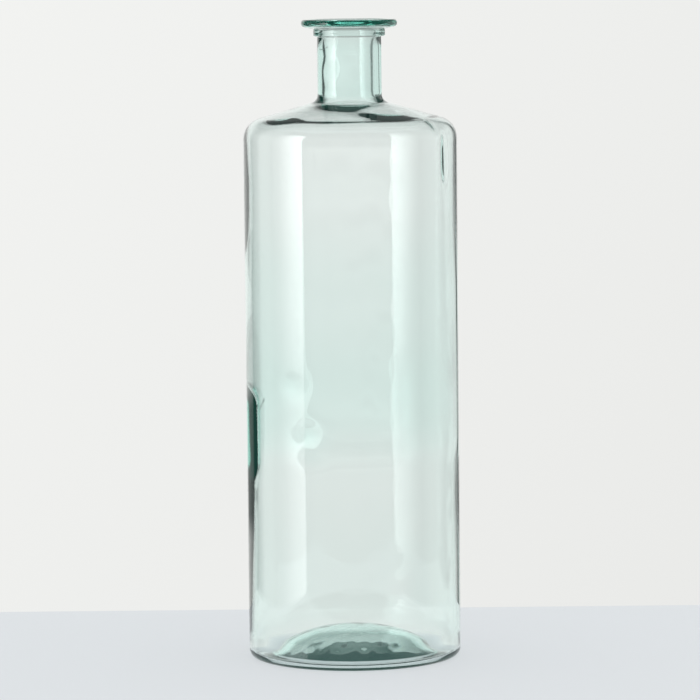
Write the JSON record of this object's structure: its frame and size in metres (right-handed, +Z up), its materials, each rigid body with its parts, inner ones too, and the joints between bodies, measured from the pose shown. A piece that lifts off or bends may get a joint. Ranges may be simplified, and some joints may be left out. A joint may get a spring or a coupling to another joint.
{
  "type": "bottle vase",
  "caption": "Tall straight-sided bottle vase of thick green glass, with a sloping shoulder, narrow neck, collar ring and wide flat lip. It stands on the floor and holds long stems.",
  "frame": {"origin": "centre of the vase, on the plane that its foot ring stands on", "axes": "+Z up along the vase's axis of revolution; X and Y are level, and -Y faces the viewer of the picture"},
  "size_m": [0.25, 0.25, 0.75],
  "materials": {
    "green_glass": "clear blown glass with a pale aqua-green tint, fire-polished, with soft waves, seeds and uneven wall thickness"
  },
  "bodies": {
    "root": {"base": "green_glass", "body_wall": "green_glass", "shoulder": "green_glass", "neck": "green_glass", "collar_ring": "green_glass", "lip_ring": "green_glass"}
  },
  "joints": []
}
